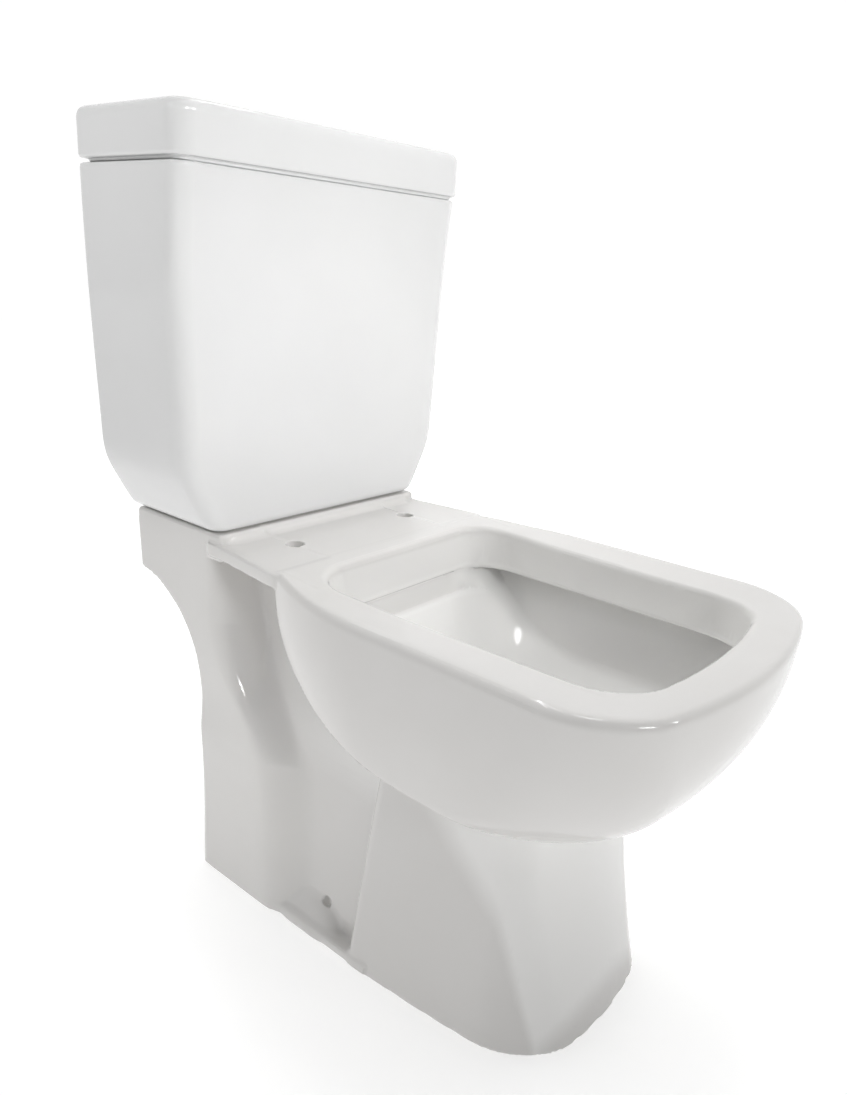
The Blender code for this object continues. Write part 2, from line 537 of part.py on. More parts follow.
# ---- fill valve ----
def make_fill_valve():
    middle = (INLET_X, INLET_Y)
    body = lathe("body", [(0.0060, 0.3740), (0.0102, 0.3740), (0.0102, 0.4246), (0.0190, 0.4246), (0.0190, 0.4286),
                          (0.0140, 0.4310), (0.0110, 0.4360), (0.0110, 0.6600), (0.0060, 0.6600)], middle, 28)
    finish(body, "fill_valve_body", PLASTIC, 0.35)
    finish(washer("gasket", middle, 0.0180, 0.0106, CISTERN_FLOOR + GAP, 0.4243), "fill_valve_gasket", RUBBER, 0.75)
    finish(hexagon("nut", middle, 0.0170, 0.3980, 0.4087, 0.0106), "fill_valve_nut", PLASTIC, 0.4)

    pivot_x, pivot_z = INLET_X - 0.008, 0.692
    cap = lathe("cap", [(0.0160, 0.6603), (0.0160, 0.6700), (0.0145, 0.6720)], middle, 28, ring=False)
    lug = box("lug", pivot_x - 0.0040, pivot_x + 0.0040, INLET_Y - 0.0020, INLET_Y + 0.0020, 0.6705, 0.6970)
    add(cap, cut(lug, rod("bore", (pivot_x, INLET_Y - 0.01, pivot_z), (pivot_x, INLET_Y + 0.01, pivot_z), 0.0019)))
    finish(cap, "fill_valve_cap", BLUE, 0.4)

    y0, y1 = INLET_Y - 0.0063, INLET_Y - 0.0023
    lever = box("lever", pivot_x - 0.004, INLET_X + 0.028, y0, y1, pivot_z - 0.0015, pivot_z + 0.0025)
    add(lever, rod("boss", (pivot_x, y0, pivot_z), (pivot_x, y1, pivot_z), 0.0042, 20))
    cut(lever, rod("bore", (pivot_x, y0 - 0.01, pivot_z), (pivot_x, y1 + 0.01, pivot_z), 0.0019, 16))
    lever.data.transform(Matrix.Translation((-pivot_x, -INLET_Y, -pivot_z)))
    lever.location = (pivot_x, INLET_Y, pivot_z)
    finish(lever, "fill_valve_lever", PLASTIC, 0.35)
    pin = rod("pin", (pivot_x, INLET_Y - 0.0072, pivot_z), (pivot_x, INLET_Y + 0.0030, pivot_z), 0.0015, 16)
    finish(pin, "fill_valve_lever_pin", STEEL, 0.3, 1.0)

    cup = lathe("cup", [(0.0125, 0.5700), (0.0280, 0.5700), (0.0280, 0.6350), (0.0260, 0.6370), (0.0125, 0.6370)],
                middle, 24)
    finish(cup, "fill_valve_float", PLASTIC, 0.4)
    link = rod("link", (INLET_X + 0.024, INLET_Y - 0.0090, 0.6373), (INLET_X + 0.024, INLET_Y - 0.0090, 0.6980),
               0.0015, 12)
    finish(link, "float_link", STEEL, 0.3, 1.0)


def clear_scene():
    for obj in list(bpy.data.objects):
        bpy.data.objects.remove(obj)


clear_scene()
make_pan()
make_cistern()
make_lid()
make_coupling()
make_flush_valve()
make_rocker(1, "full", True)
make_rocker(-1, "half", False)
for side, label in ((1, "full"), (-1, "half")):
    button(side, label)
    make_push_rod(side, label)
    make_spring(side, label)
make_button_housing()
make_fill_valve()
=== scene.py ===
"""Looks of the close coupled toilet: glazed china shells, materials, studio, camera.

The china pieces are modelled as smooth implicit solids, sampled on a grid and skinned, so that every edge and
junction gets the soft radius that glaze leaves. Sizes are in metres, in the row frame.
"""

import json
import bpy
import numpy as np
from math import cos, radians, sin
from mathutils import Matrix, Vector


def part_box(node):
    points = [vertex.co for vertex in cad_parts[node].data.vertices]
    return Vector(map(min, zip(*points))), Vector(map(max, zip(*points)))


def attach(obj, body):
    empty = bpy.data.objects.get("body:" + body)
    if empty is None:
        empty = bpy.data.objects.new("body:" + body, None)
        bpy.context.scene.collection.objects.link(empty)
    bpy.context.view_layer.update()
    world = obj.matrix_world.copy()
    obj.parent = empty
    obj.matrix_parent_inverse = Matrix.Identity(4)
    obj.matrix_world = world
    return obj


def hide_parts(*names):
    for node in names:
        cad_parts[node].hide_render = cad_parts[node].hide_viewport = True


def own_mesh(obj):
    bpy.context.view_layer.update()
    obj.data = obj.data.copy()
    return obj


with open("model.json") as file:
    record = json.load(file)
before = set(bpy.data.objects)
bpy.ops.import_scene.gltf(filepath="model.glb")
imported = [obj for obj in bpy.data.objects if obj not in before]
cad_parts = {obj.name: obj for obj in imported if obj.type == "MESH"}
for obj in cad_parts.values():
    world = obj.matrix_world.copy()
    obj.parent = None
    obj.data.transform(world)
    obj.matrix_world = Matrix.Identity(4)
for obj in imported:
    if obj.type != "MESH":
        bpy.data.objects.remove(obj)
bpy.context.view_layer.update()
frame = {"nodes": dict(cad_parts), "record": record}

GRID = 0.003    # sampling step of the china pieces


# ---- sizes taken from the frame ----
def middle_of(node):
    low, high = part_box(node)
    return (low + high) / 2


PAN_LOW, PAN_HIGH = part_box("pan")
CISTERN_LOW, CISTERN_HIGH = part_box("cistern")
LID_LOW, LID_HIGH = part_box("cistern_lid")
RIM_FRONT = PAN_LOW.y
SHELF_TOP = PAN_HIGH.z
RIM_TOP = SHELF_TOP - 0.008
VALVE_Y = middle_of("flush_valve_seat").y
BOLT_X = middle_of("coupling_bolt_right").x
INLET = (middle_of("fill_valve_nut").x, middle_of("fill_valve_nut").y)

# ---- driving sizes of the china ----
WALL = 0.009
DECK_BACK = 0.3135         # the pan's vertical back face
SHELF_HALF = 0.1435
SHELF_FRONT = 0.1715
SLAB_LOW = 0.385           # underside of the deck beside the bowl
COLUMN_HALF = 0.1303       # at the floor
COLUMN_LEAN = 0.034        # how much the columns widen with height
FOOT_FRONT = -0.2300
OUTLET_Z = 0.1825
OUTLET_RADIUS = 0.0510
PIPE_RADIUS = 0.0470
PASSAGE_RADIUS = 0.0375
SEAT_HOLE = (0.083, 0.131)
SEAT_HOLE_RADIUS = 0.0080
BOLT_HOLE_RADIUS = 0.0075
SCREW_HOLE = (0.110, 0.040, 0.0350)
SCREW_HOLE_RADIUS = 0.0050
RIM_UNDER = 0.351          # lower edge of the rim inside the bowl
LID_SKIRT = 0.7440         # lower edge of the lid outside
CISTERN_FLOOR = 0.421
WALL_SCREW = (0.120, 0.660)


# ---- smooth curves and rounded combinations ----
class Curve:
    """Natural cubic through (at, value) points, level beyond its ends."""

    def __init__(self, *points):
        self.t, self.v = (np.array(c, float) for c in zip(*sorted(points)))
        h = np.diff(self.t)
        n = len(self.t)
        a, b = np.eye(n), np.zeros(n)
        for i in range(1, n - 1):
            a[i, i - 1:i + 2] = h[i - 1], 2 * (h[i - 1] + h[i]), h[i]
            b[i] = 3 * ((self.v[i + 1] - self.v[i]) / h[i] - (self.v[i] - self.v[i - 1]) / h[i - 1])
        self.c = np.linalg.solve(a, b)
        self.h = h

    def __call__(self, t):
        t = np.clip(t, self.t[0], self.t[-1])
        i = np.clip(np.searchsorted(self.t, t) - 1, 0, len(self.h) - 1)
        h, c0, c1, d = self.h[i], self.c[i], self.c[i + 1], t - self.t[i]
        slope = (self.v[i + 1] - self.v[i]) / h - h * (2 * c0 + c1) / 3
        return self.v[i] + d * (slope + d * (c0 + d * (c1 - c0) / (3 * h)))


def both(a, b, r=0.0):
    """Intersection, its edge rounded to radius r."""
    if np.ndim(r) == 0 and r <= 0:
        return np.maximum(a, b)
    return np.minimum(np.maximum(a, b), -r) + np.hypot(np.maximum(a + r, 0), np.maximum(b + r, 0))


def either(a, b, r=0.0):
    """Union, its inner corner filleted to radius r."""
    return -both(-a, -b, r)


def without(a, b, r=0.0):
    """Cut b out of a, the new edge rounded to radius r."""
    return both(a, -b, r)


def share(value, start, length):
    """0 up to start, then rising evenly to 1 over the length."""
    return np.clip((value - start) / length, 0, 1)


def block(x, y, z, half, front, back, low, high, r):
    """Box symmetric about X = 0 with every edge rounded."""
    return both(both(x - half, both(front - y, y - back, r), r), both(low - z, z - high, r), r)


def upright(x, y, at, radius):
    """Endless vertical cylinder."""
    return np.hypot(x - at[0], y - at[1]) - radius


# ---- the pan: its outlines as they change with height ----
SIDE_INSET = Curve((0.240, 0.0300), (0.255, 0.0235), (0.275, 0.0170), (0.300, 0.0105), (0.330, 0.0045),
                   (0.360, 0.0010), (0.385, 0.0), (0.40, 0.0))
HOUSING = Curve((0.0, 0.1130), (0.10, 0.1135), (0.185, 0.1135), (0.215, 0.1120), (0.240, 0.1060),
                (0.265, 0.0970), (0.30, 0.0880), (0.34, 0.0860), (0.392, 0.0860))
COLUMN_BACK = Curve((0.0, 0.2200), (0.06, 0.2155), (0.13, 0.2128), (0.19, 0.2150), (0.24, 0.2185),
                    (0.27, 0.2255), (0.295, 0.2385), (0.315, 0.2570), (0.330, 0.2790), (0.338, 0.3000),
                    (0.342, 0.3180), (0.35, 0.33))
COLUMN_FRONT = Curve((0.0, 0.1020), (0.08, 0.1030), (0.150, 0.1040), (0.185, 0.1080), (0.215, 0.1210),
                     (0.257, 0.1480), (0.300, 0.1660), (0.340, 0.1780), (0.373, 0.1860), (0.40, 0.1920))
BASIN_HALF = Curve((0.05, 0.034), (0.10, 0.044), (0.15, 0.058), (0.20, 0.078), (0.24, 0.100), (0.28, 0.126),
                   (0.32, 0.150), (0.35, 0.1615), (0.37, 0.1645), (0.39, 0.1650))
BASIN_BACK = Curve((0.05, -0.064), (0.10, -0.055), (0.15, -0.045), (0.20, -0.025), (0.24, -0.002),
                   (0.28, 0.022), (0.32, 0.044), (0.35, 0.058), (0.39, 0.068))
BASIN_FRONT = Curve((0.05, -0.134), (0.10, -0.142), (0.15, -0.150), (0.20, -0.160), (0.24, -0.175),
                    (0.26, -0.192), (0.28, -0.222), (0.30, -0.250), (0.32, -0.272), (0.35, -0.295),
                    (0.39, -0.305))
TRAP_Y = Curve((0.0, -0.100), (0.12, -0.055), (0.26, -0.005), (0.44, 0.050), (0.58, 0.095), (0.68, 0.140),
               (1.0, 0.330))
TRAP_Z = Curve((0.0, 0.066), (0.12, 0.058), (0.26, 0.078), (0.44, 0.135), (0.58, 0.173), (0.68, OUTLET_Z),
               (0.82, OUTLET_Z), (1.0, OUTLET_Z))
TRAP_STEPS = np.linspace(0, 1, 49)


def bowl_skin(x, y, z):
    """Flared sides and bowed front of the bowl."""
    half = 0.1820 + 0.050 * np.minimum(y, 0) ** 2 - SIDE_INSET(z)
    side = x - half
    depth = np.clip((0.388 - z) / 0.145, 0, 0.995)
    front = RIM_FRONT + 1.1 * x * x + 0.10 * (1 - np.sqrt(1 - depth ** 2)) - y
    skin = both(side, front, 0.060 + 0.035 * depth)
    flare = 0.832 * x + 0.555 * y - 0.1760 + SIDE_INSET(z)
    return both(skin, flare, 0.050)


def bowl_rear(y, z):
    """The quarter ellipse that the bowl's sides end on."""
    ahead, below = np.maximum((y + 0.100) / 0.181, 0), np.maximum((0.385 - z) / 0.136, 0)
    return (np.hypot(ahead, below) - 1) * 0.150


def pedestal_outside(x, y, z):
    """The front of the foot: sides that close in towards a bowed front."""
    ahead = np.maximum(-y, 0)
    taper = 0.33 * np.minimum(y - 0.03, 0) ** 2 + 0.010 * z
    twist = np.minimum(z, 0.21) * (0.40 + 0.8 * ahead) * ahead
    half = COLUMN_HALF - taper - twist
    front = FOOT_FRONT + 1.6 * x * x + (0.30 - 0.42 * z) * z - y
    skin = both(x - half, front, np.clip(0.052 - 0.20 * z, 0.020, 0.052))
    edge = 0.009 + 0.025 * np.clip(z, 0, 0.25)
    return both(skin, y + 0.003 + 0.105 * z, edge)


def column_outside(x, y, z, back):
    """The pair of walls that carry the shelf."""
    corner = 0.015 + 0.020 * share(z, 0.14, 0.10) - 0.026 * share(z, 0.31, 0.07)
    skin = both(x - COLUMN_HALF - COLUMN_LEAN * z, COLUMN_FRONT(z) - y, corner)
    return both(skin, y - back, 0.004)


def housing_outside(x, y, z):
    """The recessed walls between the pedestal and the columns."""
    return both(x - HOUSING(z), both(-0.06 - y, y - 0.21, 0.002), 0.002)


def foot_outside(x, y, z):
    """Toe along the floor and the rounded pad round the fixing hole."""
    toe = both(x - 0.1300, z - 0.012, 0.004)
    toe = both(toe, both(-0.03 - y, y - 0.12))
    side = ((x - 0.060) / 0.073) ** 6 * (x > 0.06)
    pad = np.sqrt(((y - 0.062) / 0.052) ** 2 + (z / 0.047) ** 2 + side) - 1
    pad = both(0.035 * pad, 0.90 * x + 0.43 * z - 0.1195, 0.006)
    return either(toe, pad, 0.006)


def opening(x, y, z):
    """The hole inside the rim, slightly wider at the top."""
    lean = 0.10 * (z - RIM_UNDER)
    half = 0.1270 - 0.06 * np.minimum(y + 0.02, 0) ** 2 + lean
    return both(x - half, both(-0.2730 + 1.0 * x * x - lean * 0.5 - y, y - 0.0520 - lean, 0.040), 0.040)


def basin(x, y, z):
    """The bowl's inner space, without the rim."""
    corner = 0.032 + 0.07 * np.clip(z - 0.05, 0, 0.35)
    walls = both(x - BASIN_HALF(z), both(BASIN_FRONT(z) - y, y - BASIN_BACK(z), corner), corner)
    return both(walls, both(0.052 - z, z - 0.388, 0.010), 0.010)


def trap_line(y, z):
    """Distance in the middle plane to the trap's centre line."""
    py, pz = TRAP_Y(TRAP_STEPS), TRAP_Z(TRAP_STEPS)
    best = np.full(np.broadcast(y, z).shape, 1e9)
    for ay, az, by, bz in zip(py, pz, py[1:], pz[1:]):
        uy, uz = by - ay, bz - az
        t = np.clip(((y - ay) * uy + (z - az) * uz) / (uy * uy + uz * uz), 0, 1)
        best = np.minimum(best, (y - ay - t * uy) ** 2 + (z - az - t * uz) ** 2)
    return np.sqrt(best)


def rim_crown(skin, y, z):
    """Top of the rim and deck: it drops a little towards the front and dips inwards."""
    drop = share(-y, -0.090, 0.08)
    drop = 0.0035 * drop * drop * (3 - 2 * drop)
    dish = 0.07 * np.clip(-skin - 0.012, 0, 0.035) * share(-y, -0.050, 0.10)
    return z - RIM_TOP + drop + dish


def deck(x, y, crown, z):
    """The slab that carries the seat, and the neck where it meets the rim."""
    half = 0.1400 + 0.0060 * share(-y, -0.200, 0.012) + 0.13 * np.clip(0.170 - y, 0, 0.0825)
    slab = both(both(x - half, 0.0760 - y, 0.005), y - DECK_BACK, 0.004)
    neck = both(both(x - 0.1465, 0.030 - y, 0.004), y - 0.13)
    return both(both(np.minimum(slab, neck), crown, 0.003), SLAB_LOW - z, 0.0025)


def pan_outside(x, y, z, skin, rear):
    crown = rim_crown(skin, y, z)
    bowl = both(both(skin, rear, 0.0025), crown, 0.008)
    solid = either(bowl, both(pedestal_outside(x, y, z), z - 0.29), 0.020)
    blend = 0.006 + 0.040 * share(-z, -0.28, 0.10)
    lower = either(column_outside(x, y, z, COLUMN_BACK(z)), housing_outside(x, y, z), blend)
    lower = either(lower, deck(x, y, crown, z), 0.001)
    lower = both(lower, both(z - RIM_TOP, y - DECK_BACK, 0.003), 0.0035)
    solid = either(either(solid, lower, 0.004), foot_outside(x, y, z), 0.004)
    shelf = block(x, y, z, SHELF_HALF, SHELF_FRONT, DECK_BACK, 0.38, SHELF_TOP, 0.004)
    solid = either(solid, shelf, 0.0005 + 0.0095 * share(-x, -0.136, 0.012))
    return both(solid, crown - 0.5 * np.clip(y - 0.148, 0, 1), 0.0008)


def pan_hollow(x, y, z):
    """Open underside and back."""
    foot = both(both(pedestal_outside(x, y, z) + WALL + 0.003, z - 0.236, 0.004), -0.02 - z)
    front = -0.03 + 0.55 * np.clip(z - 0.2, 0, 0.2) - y
    middle = both(both(x - HOUSING(z) + 0.0115, both(front, y - 0.24), 0.004), z - 0.343, 0.004)
    walls = column_outside(x, y, z, 0.4) + WALL
    under_shelf = both(both(walls, z - 0.3935, 0.004), y - 0.3030, 0.003)
    behind = both(walls, z - 0.332, 0.003)
    return np.minimum(np.minimum(foot, middle), np.minimum(behind, under_shelf))


def pan_inner_walls(x, y, z, bowl, line):
    """Bowl, trap, outlet and the water chamber under the shelf."""
    trap = both(np.hypot(x, line) - PIPE_RADIUS, y - 0.225, 0.002)
    spigot = both(np.hypot(x, z - OUTLET_Z) - OUTLET_RADIUS, both(0.205 - y, y - 0.3080, 0.0015), 0.0015)
    chamber = both(upright(x, y, (0, VALVE_Y), 0.0576), both(0.348 - z, z - 0.3950), 0.002)
    shell = both(bowl - WALL, z - 0.35)
    return either(either(shell, trap, 0.010), np.minimum(spigot, chamber), 0.003)


def pan_water_ways(x, y, z, bowl, line):
    """The space inside the bowl and trap, less the wall that hangs from the rim."""
    rim_wall = opening(x, y, z) - 0.0085 - 0.05 * np.clip(z - RIM_UNDER, 0, 1)
    rim_wall = both(rim_wall, RIM_UNDER - z, 0.003)
    passage = np.hypot(x, line) - PASSAGE_RADIUS
    return either(without(bowl, rim_wall, 0.002), passage, 0.010)


def pan_inlet(x, y, z):
    """Seat for the cistern's outlet and the water's way on to the rim."""
    recess = both(upright(x, y, (0, VALVE_Y), 0.0522), 0.3925 - z, 0.001)
    throat = both(upright(x, y, (0, VALVE_Y), 0.0300), 0.3600 - z, 0.004)
    feed = block(x, y, z, 0.028, 0.060, VALVE_Y, 0.3600, 0.3830, 0.006)
    return np.minimum(recess, either(throat, feed, 0.003))


def pan_holes(solid, x_signed, x, y, z):
    """Cut the seat, coupling, foot and supply holes."""
    for at, radius in ((SEAT_HOLE, SEAT_HOLE_RADIUS), ((BOLT_X, VALVE_Y), BOLT_HOLE_RADIUS)):
        solid = without(solid, both(upright(x, y, at, radius), 0.376 - z), 0.0012)
    across = 0.79 * (z - SCREW_HOLE[2]) - 0.61 * (x - SCREW_HOLE[0])
    drill = np.hypot(y - SCREW_HOLE[1], across) - SCREW_HOLE_RADIUS
    solid = without(solid, both(drill, 0.085 - x), 0.0012)
    return without(solid, both(upright(x_signed, y, INLET, 0.0190), 0.386 - z), 0.001)


def pan_solid(x_signed, y, z):
    x = np.abs(x_signed)
    skin, rear = bowl_skin(x, y, z), bowl_rear(y, z)
    line = trap_line(y, z)
    bowl = both(basin(x, y, z), both(skin, either(rear, x - 0.095, 0.03), 0.02) + 0.012, 0.03)
    solid = without(pan_outside(x, y, z, skin, rear), pan_hollow(x, y, z), 0.002)
    solid = either(solid, pan_inner_walls(x, y, z, bowl, line), 0.003)
    solid = without(solid, pan_water_ways(x, y, z, bowl, line), 0.003)
    solid = without(solid, both(opening(x, y, z), 0.33 - z), 0.006)
    solid = without(solid, pan_inlet(x, y, z), 0.0015)
    return both(pan_holes(solid, x_signed, x, y, z), -z, 0.0015)


# ---- cistern and lid ----
CISTERN_SIDE = Curve((0.400, 0.1400), (0.415, 0.1489), (0.430, 0.1578), (0.445, 0.1660), (0.458, 0.1728),
                     (0.468, 0.1768), (0.480, 0.1793), (0.500, 0.1806), (0.550, 0.1828), (0.600, 0.1848),
                     (0.650, 0.1864), (0.700, 0.1873), (0.760, 0.1876))


def cistern_walls(x, y, z, grow):
    """The cistern's upright faces, moved out by grow."""
    front = 0.1728 - 0.0070 * np.clip((z - 0.60) / 0.14, 0, 1) ** 2
    side = (x - CISTERN_SIDE(z) - grow) * 0.96
    skin = both(side, front - grow - y, 0.018 + max(grow, -0.006))
    return both(skin, y - CISTERN_HIGH.y - grow, 0.006)


def cistern_solid(x_signed, y, z):
    x = np.abs(x_signed)
    solid = both(cistern_walls(x, y, z, 0.0), CISTERN_LOW.z - z, 0.009)
    solid = both(solid, z - CISTERN_HIGH.z, 0.0035)
    inside = both(cistern_walls(x, y, z, -WALL), CISTERN_FLOOR - z, 0.006)
    solid = without(solid, inside, 0.003)
    for at, radius in (((0, VALVE_Y), 0.0285), ((BOLT_X, VALVE_Y), 0.0055)):
        solid = without(solid, both(upright(x, y, at, radius), z - 0.44), 0.0006)
    solid = without(solid, both(upright(x_signed, y, INLET, 0.0113), z - 0.44), 0.0006)
    screw = np.hypot(x - WALL_SCREW[0], z - WALL_SCREW[1]) - 0.0035
    return without(solid, both(screw, 0.29 - y), 0.0006)


def lid_walls(x, y, inset):
    """The lid's upright faces, moved in by inset."""
    skin = both(x - LID_HIGH.x + inset, LID_LOW.y + inset - y, max(0.020 - inset, 0.012))
    return both(skin, y - LID_HIGH.y + inset, 0.008)


def lid_solid(x_signed, y, z):
    x = np.abs(x_signed)
    crown = z - LID_HIGH.z + 0.10 * np.maximum(x - 0.1, 0) ** 2
    solid = both(lid_walls(x, y, 0.0), crown, 0.010)
    solid = both(solid, LID_SKIRT - z, 0.0030)
    seat = both(lid_walls(x, y, 0.0065), both(LID_SKIRT - 0.0032 - z, z - LID_SKIRT - 0.016), 0.001)
    rib = both(lid_walls(x, y, 0.0140), both(LID_SKIRT - 0.0150 - z, z - LID_SKIRT - 0.016), 0.002)
    solid = either(solid, either(seat, rib, 0.001), 0.001)
    solid = without(solid, both(lid_walls(x, y, 0.0205), z - 0.7810, 0.003), 0.002)
    return without(solid, upright(x, y, (0, VALVE_Y), 0.0255), 0.0006)


# ---- skinning ----
def skin_quads(field):
    """Surface net of a sampled field: cell vertices (in cells) and quads between them."""
    inside = field < 0
    shape = tuple(n - 1 for n in field.shape)
    corner = [(i, j, k) for i in (0, 1) for j in (0, 1) for k in (0, 1)]
    count = np.zeros(shape, np.int8)
    for i, j, k in corner:
        count += inside[i:i + shape[0], j:j + shape[1], k:k + shape[2]]
    crossed = (count > 0) & (count < 8)
    number = np.full(shape, -1, np.int64)
    cells = np.argwhere(crossed)
    number[crossed] = np.arange(len(cells))
    total, hits = np.zeros((len(cells), 3)), np.zeros(len(cells))
    quads = []
    for axis in range(3):
        step = np.eye(3, dtype=int)[axis]
        for c in corner:
            if c[axis]:
                continue
            a = cells + c
            f0, f1 = field[tuple(a.T)], field[tuple((a + step).T)]
            crossing = (f0 < 0) != (f1 < 0)
            t = np.where(crossing, f0 / np.where(crossing, f0 - f1, 1), 0)
            total += crossing[:, None] * (np.array(c) + t[:, None] * step)
            hits += crossing
        low = [slice(1, -1)] * 3
        low[axis] = slice(0, -1)
        high = list(low)
        high[axis] = slice(1, None)
        near, far = inside[tuple(low)], inside[tuple(high)]
        edges = np.argwhere(near != far)
        flip = near[tuple(edges.T)]
        edges = edges + np.array([0 if i == axis else 1 for i in range(3)])
        u, v = np.eye(3, dtype=int)[(axis + 1) % 3], np.eye(3, dtype=int)[(axis + 2) % 3]
        ring = [number[tuple((edges - d).T)] for d in (u + v, v, 0 * u, u)]
        quad = np.stack(ring, 1)
        quad[~flip] = quad[~flip][:, ::-1]
        quads.append(quad)
    return cells + total / hits[:, None], np.concatenate(quads)


def slope_at(solid, p, h=2e-4):
    """Gradient of the solid's field at points."""
    parts = []
    for axis in range(3):
        d = np.eye(3)[axis] * h
        parts.append((solid(*(p + d).T) - solid(*(p - d).T)) / (2 * h))
    return np.stack(parts, 1)


def settle(solid, p, rounds):
    """Move points onto the solid's surface."""
    for _ in range(rounds):
        g = slope_at(solid, p)
        step = (solid(*p.T) / np.maximum((g * g).sum(1), 0.05))[:, None] * g
        length = np.linalg.norm(step, axis=1, keepdims=True)
        p = p - step * np.minimum(1, 0.0015 / np.maximum(length, 1e-9))
    return p


def corner_normals(mesh, points, normals, long_edge):
    """Exact normals at each face corner.

    A long flat face keeps its own normal where a corner of it lies on a small rounded edge.
    """
    sides = np.empty(len(mesh.polygons), int)
    mesh.polygons.foreach_get("loop_total", sides)
    starts = np.cumsum(sides) - sides
    flat = np.empty(len(mesh.polygons) * 3)
    mesh.polygons.foreach_get("normal", flat)
    flat = np.repeat(flat.reshape(-1, 3), sides, axis=0)
    corner = np.empty(len(mesh.loops), int)
    mesh.loops.foreach_get("vertex_index", corner)
    first = np.repeat(starts, sides)
    after = corner[first + (np.arange(len(corner)) - first + 1) % np.repeat(sides, sides)]
    edge = np.linalg.norm(points[after] - points[corner], axis=1)
    longest = np.repeat(np.maximum.reduceat(edge, starts), sides)
    at_corner = normals[corner]
    stray = (longest > long_edge) & ((at_corner * flat).sum(1) < 0.985)
    at_corner[stray] = flat[stray]
    return at_corner


def china(name, solid, low, high, keep, body, node):
    """Skin a solid, thin the mesh out, settle it on the exact surface and give it exact normals."""
    low = np.array(low) - 2.5 * GRID
    size = np.ceil((np.array(high) - low) / GRID + 3).astype(int)
    axes = [low[i] + GRID * np.arange(size[i]) for i in range(3)]
    half = size[0] // 2
    axes[0] = GRID * (np.arange(-half, half) + 0.5)
    x, y, z = np.meshgrid(*axes, indexing="ij", sparse=True)
    cells, quads = skin_quads(solid(x, y, z))
    origin = np.array([a[0] for a in axes])
    points = settle(solid, origin + cells * GRID, 1)
    mesh = bpy.data.meshes.new(name)
    mesh.from_pydata(points.tolist(), [], quads.tolist())
    obj = bpy.data.objects.new(name, mesh)
    bpy.context.collection.objects.link(obj)
    thin = obj.modifiers.new("thin", "DECIMATE")
    thin.ratio = keep
    with bpy.context.temp_override(object=obj, active_object=obj):
        bpy.ops.object.modifier_apply(modifier=thin.name)
    mesh = obj.data
    points = np.empty(len(mesh.vertices) * 3)
    mesh.vertices.foreach_get("co", points)
    points = settle(solid, points.reshape(-1, 3), 2)
    mesh.vertices.foreach_set("co", points.ravel())
    mesh.polygons.foreach_set("use_smooth", np.ones(len(mesh.polygons), bool))
    mesh.update()
    normals = slope_at(solid, points)
    normals /= np.maximum(np.linalg.norm(normals, axis=1, keepdims=True), 1e-9)
    mesh.normals_split_custom_set(corner_normals(mesh, points, normals, 3 * GRID).tolist())
    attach(obj, body)
    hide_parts(node)
    return obj


# ---- return springs ----
def coil_spring(name, node, body):
    """A coil in place of the return spring, carried by its button."""
    low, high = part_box(node)
    middle = middle_of(node)
    wire, turns, around, sides = 0.0005, 6, 28, 8
    radius = (high.x - low.x) / 2 - wire
    steps = turns * around
    t = np.arange(steps + 1)[:, None]
    angle = 2 * np.pi * t / around
    ring = 2 * np.pi * np.arange(sides)[None, :] / sides
    reach = radius + wire * np.cos(ring)
    rise = low.z + wire + (high.z - low.z - 2 * wire) * t / steps + wire * np.sin(ring)
    points = np.stack([middle.x + reach * np.cos(angle), middle.y + reach * np.sin(angle), rise], 2)
    points = points.reshape(-1, 3)
    faces = [(k + sides + j, k + sides + (j + 1) % sides, k + (j + 1) % sides, k + j)
             for k in range(0, steps * sides, sides) for j in range(sides)]
    faces += [tuple(range(sides)), tuple(reversed(range(steps * sides, (steps + 1) * sides)))]
    mesh = bpy.data.meshes.new(name)
    mesh.from_pydata(points.tolist(), [], faces)
    mesh.polygons.foreach_set("use_smooth", [len(face) == 4 for face in faces])
    obj = bpy.data.objects.new(name, mesh)
    bpy.context.collection.objects.link(obj)
    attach(obj, body)
    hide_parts(node)
    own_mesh(obj)
    return obj


# ---- materials ----
def new_material(name):
    material = bpy.data.materials.new(name)
    material.use_nodes = True
    nodes, links = material.node_tree.nodes, material.node_tree.links
    return material, nodes, links, nodes["Principled BSDF"]


def mottled(nodes, links, place, scale, detail, color, shade):
    """A cloudy mix of two near colours; gives the noise and the colour ramp."""
    noise = nodes.new("ShaderNodeTexNoise")
    noise.inputs["Scale"].default_value = scale
    noise.inputs["Detail"].default_value = detail
    ramp = nodes.new("ShaderNodeValToRGB")
    for stop, at, tint in zip(ramp.color_ramp.elements, (0.35, 0.65), (shade, color)):
        stop.position = at
        stop.color = (*tint, 1)
    links.new(place, noise.inputs["Vector"])
    links.new(noise.outputs["Fac"], ramp.inputs["Fac"])
    return noise, ramp


def bumped(nodes, links, place, scale, detail, strength, distance, shader):
    """Fine unevenness of the surface."""
    noise = nodes.new("ShaderNodeTexNoise")
    noise.inputs["Scale"].default_value = scale
    noise.inputs["Detail"].default_value = detail
    bump = nodes.new("ShaderNodeBump")
    bump.inputs["Strength"].default_value = strength
    bump.inputs["Distance"].default_value = distance
    links.new(place, noise.inputs["Vector"])
    links.new(noise.outputs["Fac"], bump.inputs["Height"])
    links.new(bump.outputs["Normal"], shader.inputs["Normal"])


